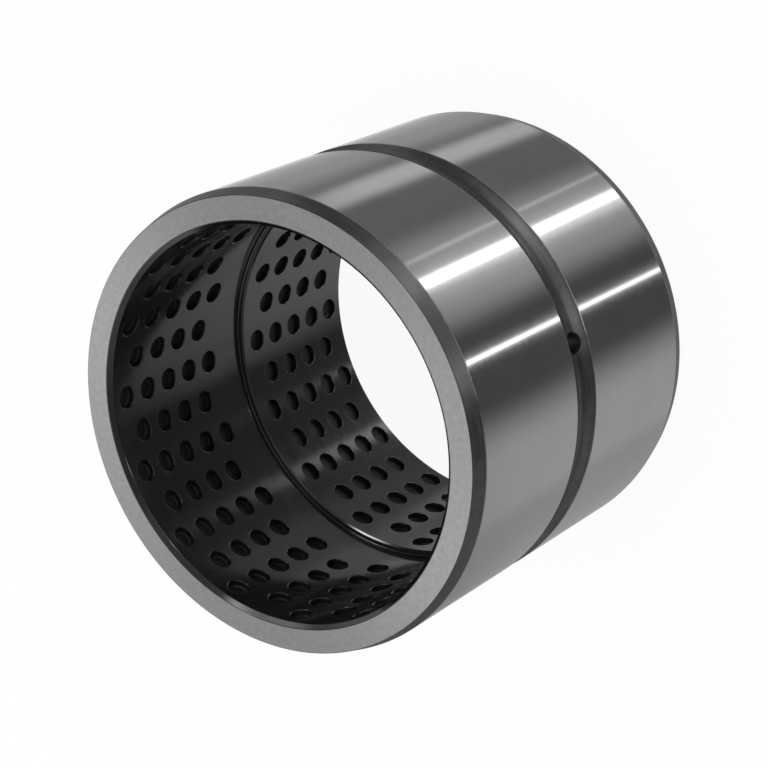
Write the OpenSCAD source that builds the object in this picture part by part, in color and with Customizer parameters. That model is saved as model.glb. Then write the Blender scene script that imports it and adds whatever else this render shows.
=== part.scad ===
// Steel sleeve bearing for a slow, heavily loaded pin. It stands on its end, with its axis along +Z.
// The bore holds two bands of blind grease pockets, one each side of a grease groove at mid length.
// A radial hole joins that groove to a second one round the outside.

/* [Sleeve] */
// Diameter of the bore that the pin turns in
bore_d = 90; // [70:0.5:120]
// Wall between the bore and the ground outside, which is pressed into its housing
wall = 7.5; // [6:0.25:15]
// Length from end face to end face
sleeve_len = 90; // [50:1:150]

/* [Ends] */
// How far each lead-in chamfer comes in from the outside
lead_in = 1; // [0.5:0.1:2]
// Angle of the lead-in chamfer to the axis
lead_in_angle = 15; // [10:1:45]
// Chamfer at each mouth of the bore, at 45 degrees
mouth_chamfer = 1; // [0.3:0.1:2]

/* [Grooves] */
// Width of the grease groove round the outside
outer_groove_w = 8; // [5:0.5:14]
// Depth of the grease groove round the outside
outer_groove_depth = 1.5; // [0.8:0.1:2.2]
// Width of the grease groove in the bore
inner_groove_w = 8; // [5:0.5:14]
// Depth of the grease groove in the bore
inner_groove_depth = 1.5; // [0.8:0.1:2.2]
// Fillet along each side of the floor of the groove in the bore
inner_groove_fillet = 0.4; // [0.1:0.1:0.7]
// Diameter of the grease hole between the two grooves
grease_hole_d = 5; // [2:0.5:6]

/* [Pockets] */
// Diameter of a grease pocket, across its rim in the bore
pocket_d = 5; // [3:0.1:6]
// Depth of a grease pocket's flat bottom below the bore
pocket_depth = 1.6; // [0.8:0.1:2.5]
// Distance between pockets along the bore
pocket_pitch = 7.5; // [6.8:0.1:15]
// Rows of pockets round the bore, long and short in turn
pocket_rows = 32; // [8:2:40]
// Least plain land between a pocket's rim and the groove or the end face
pocket_land = 2.5; // [2:0.1:5]
// Angle from the grease hole to the nearest short row
row_offset = -2.6; // [-5:0.1:5]

/* [Hidden] */
$fn = 128;
pocket_fn = 48;
overcut = 1;

bore_r = bore_d / 2;
outer_r = bore_r + wall;
mid_z = sleeve_len / 2;
lead_in_len = lead_in / tan(lead_in_angle);

// The outer groove's section is an arc, of the radius that belongs to its width and depth
outer_groove_arc = (pow(outer_groove_w / 2, 2) + pow(outer_groove_depth, 2)) / (2 * outer_groove_depth);

// Each band of pockets is centred between an end face and the groove in the bore
band_len = mid_z - inner_groove_w / 2;
row_turn = 360 / pocket_rows;
long_row = floor((band_len - pocket_d - 2 * pocket_land) / pocket_pitch) + 1;

// The turned blank: bore, end faces, lead-in chamfers and bore mouths
module blank() {
    rotate_extrude()
        polygon([
            [bore_r + mouth_chamfer, 0],
            [outer_r - lead_in, 0],
            [outer_r, lead_in_len],
            [outer_r, sleeve_len - lead_in_len],
            [outer_r - lead_in, sleeve_len],
            [bore_r + mouth_chamfer, sleeve_len],
            [bore_r, sleeve_len - mouth_chamfer],
            [bore_r, mouth_chamfer]
        ]);
}

// The groove round the outside has a round bottom
module outer_groove() {
    rotate_extrude()
        translate([outer_r - outer_groove_depth + outer_groove_arc, mid_z])
            circle(r = outer_groove_arc);
}

// The groove in the bore has upright sides and a flat floor, with a fillet along each side of it
module inner_groove() {
    floor_r = bore_r + inner_groove_depth;
    side_r = floor_r - inner_groove_fillet;
    flat_w = inner_groove_w - 2 * inner_groove_fillet;
    rotate_extrude() {
        translate([bore_r - overcut, mid_z - inner_groove_w / 2])
            square([side_r - bore_r + overcut, inner_groove_w]);
        translate([bore_r - overcut, mid_z - flat_w / 2])
            square([floor_r - bore_r + overcut, flat_w]);
        for (side = [-1, 1])
            translate([side_r, mid_z + side * flat_w / 2])
                circle(r = inner_groove_fillet);
    }
}

// The grease hole points along +X, from the groove in the bore to the one outside
module grease_hole() {
    translate([bore_r - overcut, 0, mid_z])
        rotate([0, 90, 0])
            cylinder(h = wall + 2 * overcut, d = grease_hole_d);
}

// One row of pockets along +X, centred at this height, each milled flat from inside the bore
module pocket_row(count, centre_z) {
    for (i = [0 : 1 : count - 1])
        translate([bore_r - overcut, 0, centre_z + (i - (count - 1) / 2) * pocket_pitch])
            rotate([0, 90, 0])
                cylinder(h = overcut + pocket_depth, d = pocket_d, $fn = pocket_fn);
}

// Long rows alternate with rows that are one pocket shorter, so the pockets are staggered
module pockets() {
    for (row = [0 : 1 : pocket_rows - 1], centre_z = [band_len / 2, sleeve_len - band_len / 2])
        rotate([0, 0, row_offset + row * row_turn])
            pocket_row(long_row - 1 + row % 2, centre_z);
}

module bearing_sleeve() {
    color("silver")
        difference() {
            blank();
            outer_groove();
            inner_groove();
            grease_hole();
            pockets();
        }
}

bearing_sleeve();
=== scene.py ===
# A steel sleeve bearing: ground outside, blackened and pocketed in the bore, on a plain pale floor.
# Lengths are millimetres until a point goes into the mesh. Azimuths are degrees about the axis, from +X.
import math

import bpy
from mathutils import Matrix, Vector


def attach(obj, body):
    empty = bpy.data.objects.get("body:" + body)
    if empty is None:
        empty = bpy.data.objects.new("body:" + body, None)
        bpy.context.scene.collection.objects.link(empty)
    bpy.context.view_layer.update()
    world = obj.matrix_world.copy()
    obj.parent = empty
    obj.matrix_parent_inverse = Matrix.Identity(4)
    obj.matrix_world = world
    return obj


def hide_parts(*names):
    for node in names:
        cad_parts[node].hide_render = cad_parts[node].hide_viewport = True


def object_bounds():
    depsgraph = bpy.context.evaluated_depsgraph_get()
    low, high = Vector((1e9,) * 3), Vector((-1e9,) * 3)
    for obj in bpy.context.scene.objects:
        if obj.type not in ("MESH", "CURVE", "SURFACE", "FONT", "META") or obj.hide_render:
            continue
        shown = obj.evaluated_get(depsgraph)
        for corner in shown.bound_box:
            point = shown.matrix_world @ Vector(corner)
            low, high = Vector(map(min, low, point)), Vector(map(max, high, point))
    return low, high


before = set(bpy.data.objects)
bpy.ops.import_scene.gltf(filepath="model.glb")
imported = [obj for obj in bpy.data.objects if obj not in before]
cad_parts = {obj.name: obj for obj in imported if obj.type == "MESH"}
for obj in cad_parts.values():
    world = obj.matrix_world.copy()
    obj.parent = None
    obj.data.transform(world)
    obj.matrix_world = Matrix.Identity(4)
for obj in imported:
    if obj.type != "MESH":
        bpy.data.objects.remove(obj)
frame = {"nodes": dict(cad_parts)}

cadLow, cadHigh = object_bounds()
millimetre = 0.001
print("frame loaded:", ", ".join(frame["nodes"]))


def linearColour(hexValue):  # sRGB hex to the linear values that shaders take
    shares = [int(hexValue[start:start + 2], 16) / 255 for start in (1, 3, 5)]
    return tuple(s / 12.92 if s <= 0.04045 else ((s + 0.055) / 1.055) ** 2.4 for s in shares) + (1.0,)


def addNode(tree, kind, settings=None, links=None):
    # a setting is one of the node's own properties, or else an input by its name or number
    node = tree.nodes.new(kind)
    for name, value in (settings or {}).items():
        if isinstance(name, str) and hasattr(node, name):
            setattr(node, name, value)
        else:
            node.inputs[name].default_value = value
    for name, source in (links or {}).items():
        tree.links.new(source, node.inputs[name])
    return node


# The sleeve's section and its pattern of pockets, as the real one is turned and milled
sleeve = {
    "boreRadius": 45.0,
    "leadIn": 1.0,  # how far a lead-in chamfer comes in from the outside
    "leadInAngle": 15.0,
    "mouth": 1.0,  # 45 degree chamfer at each mouth of the bore
    "grooveWidth": 8.0,
    "grooveDepth": 1.5,
    "greaseHole": 5.0,
    "brokenEdge": 0.14,  # how far each turned edge is eased
    "boreGrooveEdge": 0.07,  # the same for the upper edge of the groove in the bore
    "grooveBreak": 0.32,  # its lower edge has a small chamfer, this wide, which catches the light
    "grooveBreakAngle": 50.0,  # how far the chamfer's normal turns up from the bore's
    "grooveBreakEdge": 0.03,
    "boreGrooveFillet": 0.4,
    "pocket": 5.0,
    "pocketDepth": 1.6,
    "pocketEdge": 0.2,
    "pocketFillet": 0.4,
    "pocketPitch": 7.5,
    "rows": 32,
    "longRow": 5,  # pockets in a long row; a short row has one fewer
    "rowOffset": -2.6,  # azimuth of the nearest short row to the grease hole
    "cellSteps": 8,  # mesh steps along each side of the patch round a pocket
    "faceSteps": 3,  # and across an end face or a lead-in
    "landSteps": 5,  # and along each half of the ground outside
}
outerRadius = (cadHigh.x - cadLow.x) / 2 / millimetre
length = (cadHigh.z - cadLow.z) / millimetre
midHeight = length / 2
boreRadius = sleeve["boreRadius"]
grooveHalf = sleeve["grooveWidth"] / 2
grooveArc = (grooveHalf ** 2 + sleeve["grooveDepth"] ** 2) / (2 * sleeve["grooveDepth"])
turns = sleeve["rows"] * sleeve["cellSteps"]
turnAngle = 360 / turns
rimCount = 4 * sleeve["cellSteps"]


def straightSide(name, finish, start, end, stops, startEdge=None, endEdge=None):
    # stops are the lengths along the side at which the mesh has a ring, besides its two eased ends
    startEdge = startEdge or sleeve["brokenEdge"]
    endEdge = endEdge or sleeve["brokenEdge"]
    start, end = Vector(start), Vector(end)
    along = (end - start).normalized()
    normal = Vector((-along.y, along.x))
    reach = (end - start).length
    lengths = [startEdge, *stops, reach - endEdge]
    rings = [(start + along * distance, normal) for distance in lengths]
    return {"name": name, "finish": finish, "rings": rings, "corner": end}


def evenStops(start, end, count):
    # where a side is divided into this many equal lengths
    reach = (Vector(end) - Vector(start)).length
    return [reach * step / count for step in range(1, count)]


def roundSide(name, finish):
    # the groove outside has an arc for its section
    centre = Vector((outerRadius - sleeve["grooveDepth"] + grooveArc, midHeight))
    halfTurn = math.asin(grooveHalf / grooveArc)
    trimmed = halfTurn - sleeve["brokenEdge"] / grooveArc
    rings = []
    for step in range(sleeve["cellSteps"] + 1):
        turn = trimmed * (1 - 2 * step / sleeve["cellSteps"])
        point = centre + grooveArc * Vector((-math.cos(turn), math.sin(turn)))
        rings.append((point, (centre - point) / grooveArc))
    corner = centre + grooveArc * Vector((-math.cos(halfTurn), -math.sin(halfTurn)))
    return {"name": name, "finish": finish, "rings": rings, "corner": corner}


def sleeveSection():
    # the sides in turn: the top face, down the outside, the lower face and up the bore
    inset = sleeve["leadIn"]
    rise = inset / math.tan(math.radians(sleeve["leadInAngle"]))
    mouth = sleeve["mouth"]
    low, high = midHeight - grooveHalf, midHeight + grooveHalf
    topIn, topOut = (boreRadius + mouth, length), (outerRadius - inset, length)
    lowIn, lowOut = (boreRadius + mouth, 0), (outerRadius - inset, 0)
    landTop, landLow = (outerRadius, length - rise), (outerRadius, rise)
    boreTop, boreLow = (boreRadius, length - mouth), (boreRadius, mouth)
    cell = sleeve["pocketPitch"] / sleeve["cellSteps"]
    bandSteps = sleeve["longRow"] * sleeve["cellSteps"]
    firstStop = (low - bandSteps * cell) / 2  # from the end face to the first ring of a band
    lowStops = [firstStop - mouth + step * cell for step in range(bandSteps + 1)]
    highStops = [firstStop + step * cell for step in range(bandSteps + 1)]
    upperEdge, lowerEdge = (outerRadius, high), (outerRadius, low)
    grooveFloor = boreRadius + sleeve["grooveDepth"]
    floorLow, floorHigh = (grooveFloor, low), (grooveFloor, high)
    sharp, fillet = sleeve["boreGrooveEdge"], sleeve["boreGrooveFillet"]
    breakDepth = sleeve["grooveBreak"] * math.tan(math.radians(sleeve["grooveBreakAngle"]))
    breakEdge = sleeve["grooveBreakEdge"]
    breakLow, breakHigh = (boreRadius, low - sleeve["grooveBreak"]), (boreRadius + breakDepth, low)
    faceSteps, landSteps = sleeve["faceSteps"], sleeve["landSteps"]
    floorStops = evenStops(floorLow, floorHigh, sleeve["cellSteps"])
    return [
        straightSide("topFace", "endFace", topIn, topOut, evenStops(topIn, topOut, faceSteps)),
        straightSide("topLeadIn", "turned", topOut, landTop, evenStops(topOut, landTop, faceSteps)),
        straightSide("upperLand", "ground", landTop, upperEdge, evenStops(landTop, upperEdge, landSteps)),
        roundSide("outerGroove", "turned"),
        straightSide("lowerLand", "ground", lowerEdge, landLow, evenStops(lowerEdge, landLow, landSteps)),
        straightSide("lowLeadIn", "turned", landLow, lowOut, evenStops(landLow, lowOut, faceSteps)),
        straightSide("lowFace", "endFace", lowOut, lowIn, evenStops(lowOut, lowIn, faceSteps)),
        straightSide("lowMouth", "mouth", lowIn, boreLow, ()),
        straightSide("lowerBore", "bore", boreLow, breakLow, lowStops, endEdge=breakEdge),
        straightSide("grooveBreak", "boreGroove", breakLow, breakHigh, (), breakEdge, breakEdge),
        straightSide("innerGrooveLow", "boreGroove", breakHigh, floorLow, (), breakEdge, fillet),
        straightSide("innerGroove", "boreGroove", floorLow, floorHigh, floorStops, fillet, fillet),
        straightSide("innerGrooveHigh", "boreGroove", floorHigh, (boreRadius, high), (), fillet, sharp),
        straightSide("upperBore", "bore", (boreRadius, high), boreTop, highStops, startEdge=sharp),
        straightSide("topMouth", "mouth", boreTop, topIn, ()),
    ]


def closedRings(sides):
    # the rings of every side in turn; each corner adds one ring, halfway round its eased edge
    rings, firstRing = [], {}
    for side, following in zip(sides, sides[1:] + sides[:1]):
        firstRing[side["name"]] = len(rings)
        rings += [(point, normal, side["finish"]) for point, normal in side["rings"]]
        before, after = side["rings"][-1], following["rings"][0]
        edge = edgeFinish(side["finish"], following["finish"])
        rings[-1] = (*before, edge)
        eased = (before[0] + side["corner"] * 2 + after[0]) / 4
        rings.append((eased, (before[1] + after[1]).normalized(), edge))
    return rings, firstRing


def edgeFinish(one, other):
    # the ground surfaces were finished last, so the edges beside them are bright
    return "edge" if "ground" in (one, other) else one if other == "endFace" else other


def wallAt(kind, height):
    # radius of the bore or a groove at a height, and its normal out from the axis and up
    if kind == "bore":
        return boreRadius, -1, 0
    if kind == "innerGroove":
        return boreRadius + sleeve["grooveDepth"], -1, 0
    up = height - midHeight
    out = math.sqrt(grooveArc ** 2 - up ** 2)
    return outerRadius - sleeve["grooveDepth"] + grooveArc - out, out / grooveArc, -up / grooveArc


def roundCut(kind, azimuth, height, across, up, depth=0, lean=0, flat=0, into=1):
    # a point of a round hole cut along the radius: lean turns its normal from the wall's to the hole's
    # side, and flat moves its depth from below the curved wall to below the wall's own radius
    radius, out, rise = wallAt(kind, height + up)
    reach = math.sqrt(radius ** 2 - across ** 2)
    along = reach * (1 - flat) + wallAt(kind, height)[0] * flat + into * depth
    turn = Matrix.Rotation(math.radians(azimuth), 3, "Z")
    surface = Vector((out * reach / radius, out * across / radius, rise))
    surface = surface * (1 - flat) - Vector((into, 0, 0)) * flat
    side = -Vector((0, across, up)).normalized() if lean else Vector((0, 0, 0))
    normal = surface * math.cos(math.radians(lean)) + side * math.sin(math.radians(lean))
    return turn @ Vector((along, across, up)) + Vector((0, 0, height)), (turn @ normal).normalized()


def sleeveMesh():
    rings, firstRing = closedRings(sleeveSection())
    points, normals, faces, finishes, lattice, cutOut = [], [], [], [], {}, set()

    def addPoint(point, normal):
        points.append(point * millimetre)
        normals.append(normal)
        return len(points) - 1

    def addFace(corners, finish):
        faces.append(corners)
        finishes.append(finish)

    def azimuthOf(turn):
        return sleeve["rowOffset"] + (turn - sleeve["cellSteps"] / 2) * turnAngle

    def latticePoint(ring, turn):
        key = (ring % len(rings), turn % turns)
        if key not in lattice:
            point, normal, _ = rings[key[0]]
            spin = Matrix.Rotation(math.radians(azimuthOf(key[1])), 3, "Z")
            place = spin @ Vector((point.x, 0, point.y))
            lattice[key] = addPoint(place, spin @ Vector((normal.x, 0, normal.y)))
        return lattice[key]

    def cellLoop(ring, turn):
        # the corners and sides of a square patch of the lattice, in the order of its faces
        steps = sleeve["cellSteps"]
        loop = [(ring + step, turn) for step in range(steps)]
        loop += [(ring + steps, turn + step) for step in range(steps)]
        loop += [(ring + steps - step, turn + steps) for step in range(steps)]
        loop += [(ring, turn + steps - step) for step in range(steps)]
        cutOut.update((ring + i, (turn + j) % turns) for i in range(steps) for j in range(steps))
        return [latticePoint(*place) for place in loop]

    def addStrip(outer, inner, finish):
        for step in range(rimCount):
            after = (step + 1) % rimCount
            addFace((outer[step], outer[after], inner[after], inner[step]), finish)

    def addCut(kind, ring, turn, azimuth, height, hole, profile, finish, into=1):
        # strips from the square patch to the hole's rim and on through its profile, which holds the radius,
        # depth, lean and flat of each ring. The finishes in hole follow one another down it, and the last
        # one goes on to its end. The deepest ring is returned.
        loop = cellLoop(ring, turn)
        rising = 1 if rings[ring + 1][0].y > rings[ring][0].y else -1
        firstCorner = 45  # a patch begins at a corner, and so does the rim inside it
        rimTurn = 360 / rimCount
        angles = [math.radians(180 + rising * (firstCorner - step * rimTurn)) for step in range(rimCount)]
        back = Matrix.Rotation(math.radians(-azimuth), 3, "Z")
        corners = [back @ (points[index] / millimetre) for index in loop]
        rim = [(profile[0][0] * math.cos(angle), profile[0][0] * math.sin(angle)) for angle in angles]
        middle = []
        for corner, (across, up) in zip(corners, rim):
            halfway = ((corner.y + across) / 2, (corner.z - height + up) / 2)
            middle.append(addPoint(*roundCut(kind, azimuth, height, *halfway, into=into)))
        addStrip(loop, middle, finish)
        last = middle
        for number, (radius, depth, lean, flat) in enumerate(profile):
            ringPoints = []
            for angle in angles:
                place = (radius * math.cos(angle), radius * math.sin(angle))
                cut = roundCut(kind, azimuth, height, *place, depth, lean, flat, into)
                ringPoints.append(addPoint(*cut))
            addStrip(last, ringPoints, finish if number == 0 else hole[min(number, len(hole)) - 1])
            last = ringPoints
        return last

    pocketRadius, edge = sleeve["pocket"] / 2, sleeve["pocketEdge"]
    floor, fillet = sleeve["pocketDepth"], sleeve["pocketFillet"]
    bend = 0.29  # where the middle of a quarter-round stands, as a share of its radius
    pocketProfile = [
        (pocketRadius + edge, 0, 0, 0),
        (pocketRadius + edge * bend, edge * bend, 45, 0),
        (pocketRadius, edge, 90, 0),
        (pocketRadius, floor - fillet, 90, 1),
        (pocketRadius - fillet * bend, floor - fillet * bend, 45, 1),
        (pocketRadius - fillet, floor, 0, 1),
    ]
    steps = sleeve["cellSteps"]
    for row in range(sleeve["rows"]):
        count = sleeve["longRow"] - 1 + row % 2
        azimuth = sleeve["rowOffset"] + row * 360 / sleeve["rows"]
        for band in ("lowerBore", "upperBore"):
            firstCell = firstRing[band] + 1 + (1 - row % 2) * steps // 2
            for number in range(count):
                ring = firstCell + number * steps
                height = rings[ring + steps // 2][0].y
                bottom = addCut("bore", ring, row * steps, azimuth, height, ("rim", "rim", "pocket"),
                                pocketProfile, "bore")
                centre, normal = roundCut("bore", azimuth, height, 0, 0, floor, 0, 1)
                middle = addPoint(centre, normal)
                for step in range(rimCount):
                    addFace((bottom[step], bottom[(step + 1) % rimCount], middle), "pocket")

    holeRadius, holeEdge = sleeve["greaseHole"] / 2, sleeve["brokenEdge"]
    holeProfile = [
        (holeRadius + holeEdge, 0, 0, 0),
        (holeRadius + holeEdge * bend, holeEdge * bend, 45, 0),
        (holeRadius, holeEdge, 90, 0),
    ]
    holeTurn = round(-sleeve["rowOffset"] / turnAngle)  # the patch whose middle is nearest to +X
    holeEnds = []
    for kind, finish, into in (("innerGroove", "boreGroove", 1), ("outerGroove", "turned", -1)):
        holeEnds.append(addCut(kind, firstRing[kind], holeTurn, 0, midHeight, ("pocket",), holeProfile,
                               finish, into))
    inner, outer = holeEnds
    # the two ends run opposite ways round the hole, a quarter turn apart
    addStrip(inner, [outer[(rimCount // 4 - step) % rimCount] for step in range(rimCount)], "pocket")

    for ring, (_, _, finish) in enumerate(rings):
        for turn in range(turns):
            if (ring, turn) not in cutOut:
                corners = [(ring, turn), (ring + 1, turn), (ring + 1, turn + 1), (ring, turn + 1)]
                addFace(tuple(latticePoint(*place) for place in corners), finish)
    return points, normals, faces, finishes


def materialTree(name):
    # a finish begins with its shader and output, and with the piece's own coordinates in millimetres
    material = bpy.data.materials.new(name)
    material.use_nodes = True
    tree = material.node_tree
    tree.nodes.clear()
    surface = addNode(tree, "ShaderNodeBsdfPrincipled")
    addNode(tree, "ShaderNodeOutputMaterial", links={"Surface": surface.outputs[0]})
    place = addNode(tree, "ShaderNodeTexCoord").outputs["Object"]
    place = addNode(tree, "ShaderNodeVectorMath", {"operation": "SCALE", "Scale": 1 / millimetre},
                    {0: place})
    return material, tree, surface, place.outputs[0]


def layAcross(tree, place, runLength, lineWidth):
    # coordinates in which noise of scale 1 is drawn out round the axis, as every tool mark here is
    flat = addNode(tree, "ShaderNodeVectorMath", {"operation": "MULTIPLY", 1: (1, 1, 0)}, {0: place})
    radius = addNode(tree, "ShaderNodeVectorMath", {"operation": "LENGTH"}, {0: flat.outputs[0]})
    height = addNode(tree, "ShaderNodeSeparateXYZ", links={0: place})
    across = addNode(tree, "ShaderNodeMath", {"operation": "ADD"},
                     {0: radius.outputs["Value"], 1: height.outputs["Z"]})
    lines = addNode(tree, "ShaderNodeMath", {"operation": "DIVIDE", 1: lineWidth}, {0: across.outputs[0]})
    around = addNode(tree, "ShaderNodeVectorMath", {"operation": "SCALE", "Scale": 1 / runLength},
                     {0: flat.outputs[0]})
    upright = addNode(tree, "ShaderNodeCombineXYZ", links={"Z": lines.outputs[0]})
    return addNode(tree, "ShaderNodeVectorMath", {"operation": "ADD"},
                   {0: around.outputs[0], 1: upright.outputs[0]}).outputs[0]


# Blender's noise is about even round its middle and seldom leaves its usual range
noiseMiddle = 0.5
noiseRange = (0.3, 0.7)


def metalFinish(look):
    # every finish here is one steel under some tool's marks, so they share one layout: lines along the lay
    # and patches, mixed for the colour and the bump, with the lines alone for the roughness
    material, tree, surface, place = materialTree(look["name"])
    marks = layAcross(tree, place, look["markLength"], look["markWidth"])
    lines = addNode(tree, "ShaderNodeTexNoise", {"Scale": 1, "Detail": 3, "Roughness": 0.6},
                    {"Vector": marks})
    patches = addNode(tree, "ShaderNodeTexNoise",
                      {"Scale": 1 / look["patchSize"], "Detail": 4, "Roughness": 0.55}, {"Vector": place})
    worn = addNode(tree, "ShaderNodeMath", {"operation": "MULTIPLY_ADD", 1: look["lineShare"]},
                   {0: lines.outputs[0], 2: patches.outputs[0]})
    middle = noiseMiddle * look["lineShare"] + noiseMiddle
    share = addNode(tree, "ShaderNodeMapRange", {
        "From Min": middle - look["contrast"], "From Max": middle + look["contrast"]},
        {"Value": worn.outputs[0]})
    colour = addNode(tree, "ShaderNodeMix", {
        "data_type": "RGBA", 6: linearColour(look["dark"]), 7: linearColour(look["light"])},
        {0: share.outputs[0]})
    rough = addNode(tree, "ShaderNodeMapRange", {
        "From Min": noiseRange[0], "From Max": noiseRange[1], "To Min": look["rough"][0],
        "To Max": look["rough"][1]}, {"Value": lines.outputs[0]})
    bump = addNode(tree, "ShaderNodeBump", {
        "Strength": look["bump"], "Distance": look["bumpDepth"] * millimetre}, {"Height": worn.outputs[0]})
    tree.links.new(colour.outputs[2], surface.inputs["Base Color"])
    tree.links.new(rough.outputs[0], surface.inputs["Roughness"])
    tree.links.new(bump.outputs[0], surface.inputs["Normal"])
    surface.inputs["Metallic"].default_value = look["metallic"]
    if "ior" in look:
        surface.inputs["IOR"].default_value = look["ior"]
    if "anisotropy" in look:
        surface.inputs["Anisotropic"].default_value = look["anisotropy"]
        surface.inputs["Anisotropic Rotation"].default_value = look["anisotropyTurn"]
        tangent = addNode(tree, "ShaderNodeTangent", {"direction_type": "RADIAL", "axis": "Z"})
        tree.links.new(tangent.outputs[0], surface.inputs["Tangent"])
    return material


# Bearing steel, cylindrically ground: near mirror along the lines, so it shows the studio as clean stripes.
# Real grinding lines are about 0.03 mm apart, drawn at 0.35 mm so that they show.
groundSteel = {
    "name": "ground_bearing_steel",
    "dark": "#C0C0C0",
    "light": "#CACACA",
    "metallic": 1.0,
    "rough": (0.08, 0.11),
    "markLength": 40.0,  # millimetres along a tool's mark
    "markWidth": 0.35,  # and across it
    "patchSize": 14.0,
    "lineShare": 0.6,  # how much the lines count against the patches
    "contrast": 0.35,  # how far from its middle the noise is fully dark or light
    "bump": 0.05,
    "bumpDepth": 0.01,
}

# The same steel, ground flat on the ends with a coarser wheel: an even grey with a fine grain
faceSteel = {
    "name": "ground_end_face_steel", "dark": "#B9B9B9", "light": "#CFCFCF", "metallic": 1.0,
    "rough": (0.34, 0.44), "markLength": 6.0, "markWidth": 0.4, "patchSize": 1.2, "lineShare": 0.8,
    "contrast": 0.3, "bump": 0.25, "bumpDepth": 0.02, "anisotropy": 0.8,
    "anisotropyTurn": 0.25,  # a quarter turn, so that light spreads across the lines
}

# Turned before hardening and left as it came out of the quench: dark oxide with lighter turned streaks
turnedSteel = {
    "name": "turned_quench_blackened_steel", "dark": "#555555", "light": "#6E6E6E", "metallic": 1.0,
    "rough": (0.30, 0.38), "markLength": 14.0, "markWidth": 0.5, "patchSize": 3.0, "lineShare": 1.2,
    "contrast": 0.4, "bump": 0.1, "bumpDepth": 0.02,
}

# Black oxide over the honed bore: magnetite, whose index of 2.4 gives a black its deep semi-gloss
oxideBore = {
    "name": "honed_black_oxide_bore", "dark": "#0A0A0A", "light": "#151515", "metallic": 0.0, "ior": 2.42,
    "rough": (0.10, 0.15), "markLength": 2.5, "markWidth": 1.0, "patchSize": 0.8, "lineShare": 0.3,
    "contrast": 0.3, "bump": 0.05, "bumpDepth": 0.01,
}

# The same oxide where the cutter left it rough, in the pockets and the grease hole: dull and almost black
oxidePocket = {
    "name": "milled_black_oxide_pocket", "dark": "#0A0A0A", "light": "#141414", "metallic": 0.0, "ior": 1.8,
    "rough": (0.45, 0.55), "markLength": 3.0, "markWidth": 0.5, "patchSize": 1.0, "lineShare": 0.5,
    "contrast": 0.3, "bump": 0.1, "bumpDepth": 0.02,
}

# Edges that the grinding wheel broke last, polished by handling: a bright line beside each ground surface
edgeSteel = {
    "name": "burnished_edge_steel", "dark": "#8F8F8F", "light": "#B4B4B4", "metallic": 1.0,
    "rough": (0.24, 0.32), "markLength": 4.0, "markWidth": 0.6, "patchSize": 2.0, "lineShare": 0.5,
    "contrast": 0.3, "bump": 0.05, "bumpDepth": 0.01,
}

finishLooks = {
    "ground": groundSteel, "endFace": faceSteel, "turned": turnedSteel, "edge": edgeSteel,
    "mouth": oxideBore, "bore": oxideBore, "boreGroove": oxideBore, "rim": oxideBore, "pocket": oxidePocket,
}


def makeSleeve():
    points, normals, faces, finishes = sleeveMesh()
    mesh = bpy.data.meshes.new("sleeve")
    mesh.from_pydata(points, [], faces)
    names = []
    for look in finishLooks.values():
        if look["name"] not in names:
            names.append(look["name"])
            mesh.materials.append(metalFinish(look))
    slots = [names.index(finishLooks[finish]["name"]) for finish in finishes]
    mesh.polygons.foreach_set("material_index", slots)
    mesh.polygons.foreach_set("use_smooth", [True] * len(faces))
    mesh.normals_split_custom_set_from_vertices(normals)
    mesh.update()
    piece = bpy.data.objects.new("pocketed_sleeve", mesh)
    bpy.context.scene.collection.objects.link(piece)
    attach(piece, "root")
    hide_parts("bearing_sleeve")
    print("sleeve made:", len(points), "points,", len(faces), "faces")


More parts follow.
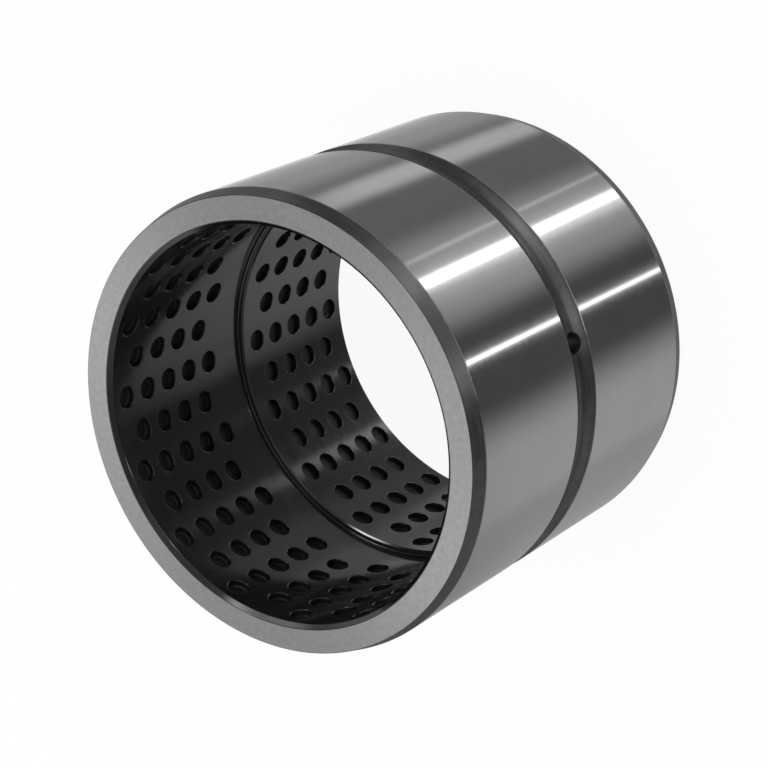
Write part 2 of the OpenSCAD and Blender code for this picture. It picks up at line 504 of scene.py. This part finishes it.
# What the metal mirrors: soft walls and lamps with dark gaps between them, each at one azimuth from below
# to above, unless it comes in over the elevations in "from" or goes out over those in "to". A belt of shade
# crosses them low down, where the bore looks out through its lower mouth.
studio = {
    "gap": 0.08,  # the dark gaps
    "plain": 1.0,  # light on whatever isn't glossy, at which a colour renders as it is written
    "walls": {
        "paperWall": {"azimuth": 226, "halfWidth": 100, "soft": 24, "level": 0.288, "to": (0, 32)},
        "paperGlow": {"azimuth": -66, "halfWidth": 20, "soft": 16, "level": 0.085},
        "nearCard": {"azimuth": 95, "halfWidth": 28, "soft": 20, "level": 0.08},
        "sideGlow": {"azimuth": 112, "halfWidth": 9, "soft": 10, "level": 0.08},
        "windowWall": {"azimuth": 189, "halfWidth": 15, "soft": 22, "level": 0.416},
        "windowGlow": {"azimuth": 172, "halfWidth": 14, "soft": 28, "level": 0.112},
        # the sheen of the end face comes from this one
        "faceCard": {"azimuth": 177, "halfWidth": 10, "soft": 10, "level": 0.9,
            "from": (18, 26), "to": (44, 50)},
        "highGlow": {"azimuth": 106, "halfWidth": 18, "soft": 16, "level": 0.36, "from": (14, 20)},
        "keySide": {"azimuth": 20, "halfWidth": 18, "soft": 16, "level": 0.24,
            "from": (-45, -20), "to": (10, 28)},
        "edgeSide": {"azimuth": 0, "halfWidth": 4, "soft": 5, "level": 1.6,
            "from": (-45, -20), "to": (10, 28)},
        "farCard": {"azimuth": -118, "halfWidth": 16, "soft": 24, "level": 0.28,
            "from": (-40, -22), "to": (-20, -8)},
        "cornerCard": {"azimuth": -32, "halfWidth": 7, "soft": 8, "level": 0.192,
            "from": (-51, -49), "to": (-47, -45)},
    },
    "belt": {"azimuth": -45, "halfWidth": 105, "soft": 40, "level": 0.76,
        "from": (-53.5, -43.5), "to": (-40, -28)},
    "lamps": {  # each ends at its top, where the belt hides it, and shows again above the belt
        "sideCard": {"azimuth": 110.5, "halfWidth": 7.5, "soft": 9, "level": 0.304, "top": -51.2},
        "fillPanel": {"azimuth": 43.5, "halfWidth": 23.2, "soft": 20, "level": 0.288, "top": -52},
        "thinCard": {"azimuth": 58.5, "halfWidth": 0.9, "soft": 1, "level": 0.32, "lean": 1.0, "top": -52},
        "keyGlow": {"azimuth": 43.5, "halfWidth": 8.5, "soft": 14, "level": 0.224, "lean": 0.5, "top": -52},
        "keyStrip": {"azimuth": 45, "halfWidth": 2.85, "soft": 1.2, "level": 1.76,
            "lean": 0.55, "top": -52},
        "keyTail": {"azimuth": 43.5, "halfWidth": 4, "soft": 5, "level": 0.36, "top": -47.9},
        "edgeGlow": {"azimuth": 0.5, "halfWidth": 4, "soft": 6, "level": 0.112, "lean": -0.3, "top": -52},
        "edgeStrip": {"azimuth": 0.15, "halfWidth": 0.95, "soft": 0.8, "level": 2.8,
            "lean": -0.3, "top": -51.5},
    },
    "lampEdge": 0.7,  # how softly a lamp ends at its top
    "lampAgain": (-40, -28),  # elevations over which every lamp shows again
    "lampEnd": (10, 28),  # and over which it ends
    "lampRise": (-58, -53),  # and, at the bottom, over which it grows brighter
    "lampGain": 1.3,
    "leanFrom": -54,  # the elevation at which a leaning lamp stands at its own azimuth
    "leanTo": -50,  # from here up it stands upright
    "ceilingGap": 0.096,
    "ceilingFrom": (28, 50),  # elevations over which walls and lamps give way to the ceiling
    "ceiling": {
        "softCeiling": {"azimuth": 224, "halfWidth": 55, "soft": 60, "level": 0.6},
        "zenith": {"azimuth": 0, "halfWidth": 200, "soft": 2, "level": 0.3, "from": (66, 80)},  # all round
        "keyCeiling": {"azimuth": 45, "halfWidth": 22, "soft": 24, "level": 0.096},
        # the crescent of light on the chamfer of the bore's groove comes from this one
        "highLamp": {"azimuth": 95.5, "halfWidth": 8, "soft": 9, "level": 9.6,
            "from": (29, 32), "to": (40, 43)},
    },
}


def panelLight(tree, name, panel, azimuth, elevation):
    # one wall or lamp: full over its width and soft at its sides, between its own elevations if it has any
    centre = panel["azimuth"]
    if "lean" in panel:
        centre += panel["lean"] * studio["leanFrom"]
        low = addNode(tree, "ShaderNodeMath", {"operation": "MINIMUM", 1: studio["leanTo"]}, {0: elevation})
        leant = addNode(tree, "ShaderNodeMath", {"operation": "MULTIPLY_ADD", 1: panel["lean"]},
                        {0: low.outputs[0], 2: azimuth})
        azimuth = leant.outputs[0]
    off = addNode(tree, "ShaderNodeMath", {"operation": "SUBTRACT", 1: centre}, {0: azimuth})
    near = addNode(tree, "ShaderNodeMath", {"operation": "WRAP", 1: 180, 2: -180}, {0: off.outputs[0]})
    away = addNode(tree, "ShaderNodeMath", {"operation": "ABSOLUTE"}, {0: near.outputs[0]})
    half, blur = panel["halfWidth"], panel["soft"] / 2
    light = addNode(tree, "ShaderNodeMapRange", {
        "label": name, "interpolation_type": "SMOOTHSTEP", "From Min": half - blur, "From Max": half + blur,
        "To Min": panel["level"], "To Max": 0}, {"Value": away.outputs[0]})
    for limit, start, end in (("from", 0, 1), ("to", 1, 0)):
        if limit in panel:
            share = addNode(tree, "ShaderNodeMapRange", {
                "interpolation_type": "SMOOTHSTEP", "From Min": panel[limit][0],
                "From Max": panel[limit][1], "To Min": start, "To Max": end}, {"Value": elevation})
            light = addNode(tree, "ShaderNodeMath", {"operation": "MULTIPLY"},
                            {0: light.outputs[0], 1: share.outputs[0]})
    return light.outputs[0]


def lampsLight(tree, azimuth, elevation):
    # all the lamps together, each from below to its top and again above the belt
    shares = []
    for limits, start, end in ((studio["lampAgain"], 0, 1), (studio["lampEnd"], 1, 0)):
        shares.append(addNode(tree, "ShaderNodeMapRange", {
            "interpolation_type": "SMOOTHSTEP", "From Min": limits[0], "From Max": limits[1],
            "To Min": start, "To Max": end}, {"Value": elevation}).outputs[0])
    again = addNode(tree, "ShaderNodeMath", {"operation": "MULTIPLY"}, {0: shares[0], 1: shares[1]})
    total = None
    for name, panel in studio["lamps"].items():
        below = addNode(tree, "ShaderNodeMapRange", {
            "interpolation_type": "SMOOTHSTEP", "From Min": panel["top"] - studio["lampEdge"],
            "From Max": panel["top"] + studio["lampEdge"], "To Min": 1, "To Max": 0}, {"Value": elevation})
        shown = addNode(tree, "ShaderNodeMath", {"operation": "MAXIMUM"},
                        {0: below.outputs[0], 1: again.outputs[0]})
        whole = panelLight(tree, name, panel, azimuth, elevation)
        lamp = addNode(tree, "ShaderNodeMath", {"operation": "MULTIPLY"}, {0: whole, 1: shown.outputs[0]})
        if total is not None:
            lamp = addNode(tree, "ShaderNodeMath", {"operation": "ADD"},
                           {0: total.outputs[0], 1: lamp.outputs[0]})
        total = lamp
    gain = addNode(tree, "ShaderNodeMapRange", {
        "From Min": studio["lampRise"][0], "From Max": studio["lampRise"][1], "To Min": 1,
        "To Max": studio["lampGain"]}, {"Value": elevation})
    return addNode(tree, "ShaderNodeMath", {"operation": "MULTIPLY"},
                   {0: total.outputs[0], 1: gain.outputs[0]}).outputs[0]


def makeWorld():
    world = bpy.data.worlds.new("studio")
    bpy.context.scene.world = world
    world.use_nodes = True
    world.cycles.sampling_method = "NONE"  # so that each kind of ray finds the light meant for it
    tree = world.node_tree
    tree.nodes.clear()
    direction = addNode(tree, "ShaderNodeTexCoord").outputs["Generated"]
    parts = addNode(tree, "ShaderNodeSeparateXYZ", links={0: direction}).outputs
    turn = addNode(tree, "ShaderNodeMath", {"operation": "ARCTAN2"}, {0: parts["Y"], 1: parts["X"]})
    azimuth = addNode(tree, "ShaderNodeMath", {"operation": "DEGREES"}, {0: turn.outputs[0]}).outputs[0]
    rise = addNode(tree, "ShaderNodeMath", {"operation": "ARCSINE"}, {0: parts["Z"]})
    elevation = addNode(tree, "ShaderNodeMath", {"operation": "DEGREES"}, {0: rise.outputs[0]}).outputs[0]

    def withPanels(base, panels):
        light = addNode(tree, "ShaderNodeValue")
        light.outputs[0].default_value = base
        for name, panel in panels.items():
            light = addNode(tree, "ShaderNodeMath", {"operation": "ADD"},
                            {0: light.outputs[0], 1: panelLight(tree, name, panel, azimuth, elevation)})
        return light.outputs[0]

    walls = withPanels(studio["gap"], studio["walls"])
    shade = panelLight(tree, "belt", studio["belt"], azimuth, elevation)
    clear = addNode(tree, "ShaderNodeMath", {"operation": "SUBTRACT", 0: 1}, {1: shade})
    light = addNode(tree, "ShaderNodeMath", {"operation": "MULTIPLY_ADD"},
                    {0: walls, 1: clear.outputs[0], 2: lampsLight(tree, azimuth, elevation)})
    high = addNode(tree, "ShaderNodeMapRange", {
        "interpolation_type": "SMOOTHSTEP", "From Min": studio["ceilingFrom"][0],
        "From Max": studio["ceilingFrom"][1]}, {"Value": elevation})
    seen = addNode(tree, "ShaderNodeMix", {"data_type": "FLOAT"}, {
        0: high.outputs[0], 2: light.outputs[0], 3: withPanels(studio["ceilingGap"], studio["ceiling"])})
    path = addNode(tree, "ShaderNodeLightPath").outputs
    shiny = addNode(tree, "ShaderNodeMath", {"operation": "MAXIMUM"},
                    {0: path["Is Glossy Ray"], 1: path["Is Transmission Ray"]})
    level = addNode(tree, "ShaderNodeMix", {"data_type": "FLOAT", 2: studio["plain"]},
                    {0: shiny.outputs[0], 3: seen.outputs[0]})
    # behind the object the camera sees plain white
    shown = addNode(tree, "ShaderNodeMix", {"data_type": "FLOAT", 3: 1.0},
                    {0: path["Is Camera Ray"], 2: level.outputs[0]})
    background = addNode(tree, "ShaderNodeBackground", {"Color": (1, 1, 1, 1)},
                         {"Strength": shown.outputs[0]})
    addNode(tree, "ShaderNodeOutputWorld", links={"Surface": background.outputs[0]})
    print("studio lit:", len(studio["walls"]), "walls and", len(studio["lamps"]), "lamps")


# A white sweep: it glows to just under white and takes the rest from the light, so it keeps a soft shadow.
# Metal looks through it to the studio, which also stands below, as round an object on a glass table.
sweep = {
    "size": 6000.0,
    "drop": 0.05,  # how far below the sleeve it lies
    "glow": 0.93,
    "paper": 0.065,  # what it takes from the light
}


def makeFloor():
    half = sweep["size"] / 2 * millimetre
    depth = cadLow.z - sweep["drop"] * millimetre
    mesh = bpy.data.meshes.new("floor")
    corners = [(-half, -half, depth), (half, -half, depth), (half, half, depth), (-half, half, depth)]
    mesh.from_pydata(corners, [], [(0, 1, 2, 3)])
    floor = bpy.data.objects.new("floor", mesh)
    bpy.context.scene.collection.objects.link(floor)
    material = bpy.data.materials.new("white_paper_sweep")
    material.use_nodes = True
    tree = material.node_tree
    tree.nodes.clear()
    lit = sweep["paper"]
    paper = addNode(tree, "ShaderNodeBsdfDiffuse", {"Color": (lit, lit, lit, 1)})
    glow = addNode(tree, "ShaderNodeEmission", {"Color": (1, 1, 1, 1), "Strength": sweep["glow"]})
    white = addNode(tree, "ShaderNodeAddShader", links={0: paper.outputs[0], 1: glow.outputs[0]})
    clear = addNode(tree, "ShaderNodeBsdfTransparent")
    path = addNode(tree, "ShaderNodeLightPath").outputs
    shiny = addNode(tree, "ShaderNodeMath", {"operation": "MAXIMUM"},
                    {0: path["Is Glossy Ray"], 1: path["Is Transmission Ray"]})
    both = addNode(tree, "ShaderNodeMixShader",
                   links={0: shiny.outputs[0], 1: white.outputs[0], 2: clear.outputs[0]})
    addNode(tree, "ShaderNodeOutputMaterial", links={"Surface": both.outputs[0]})
    mesh.materials.append(material)
    print("floor laid")


# The photograph's view: where the camera aims, how far off it is, and how it is turned
shot = {
    "aim": (-1.03, -2.44, 46.29),
    "distance": 556.0,
    "azimuth": 14.0,
    "elevation": 51.08,
    "roll": -116.3,  # against a level camera, because the sleeve stands on its end here
    "lens": 113.54,
    "clip": 10.0,  # nothing nearer to the camera is drawn
}


def makeCamera():
    around, above, roll = (math.radians(shot[name]) for name in ("azimuth", "elevation", "roll"))
    back = Vector((math.cos(above) * math.cos(around), math.cos(above) * math.sin(around), math.sin(above)))
    levelRight = Vector((-math.sin(around), math.cos(around), 0))
    levelUp = back.cross(levelRight)
    right = levelRight * math.cos(roll) + levelUp * math.sin(roll)
    up = back.cross(right)
    camera = bpy.data.objects.new("camera", bpy.data.cameras.new("camera"))
    bpy.context.scene.collection.objects.link(camera)
    camera.data.lens = shot["lens"]
    camera.data.clip_start = shot["clip"] * millimetre
    camera.matrix_world = Matrix((right, up, back)).transposed().to_4x4()
    camera.location = (Vector(shot["aim"]) + back * shot["distance"]) * millimetre
    bpy.context.scene.camera = camera
    print("camera placed")


makeSleeve()
makeWorld()
makeFloor()
makeCamera()
bpy.context.scene.view_settings.view_transform = "Standard"
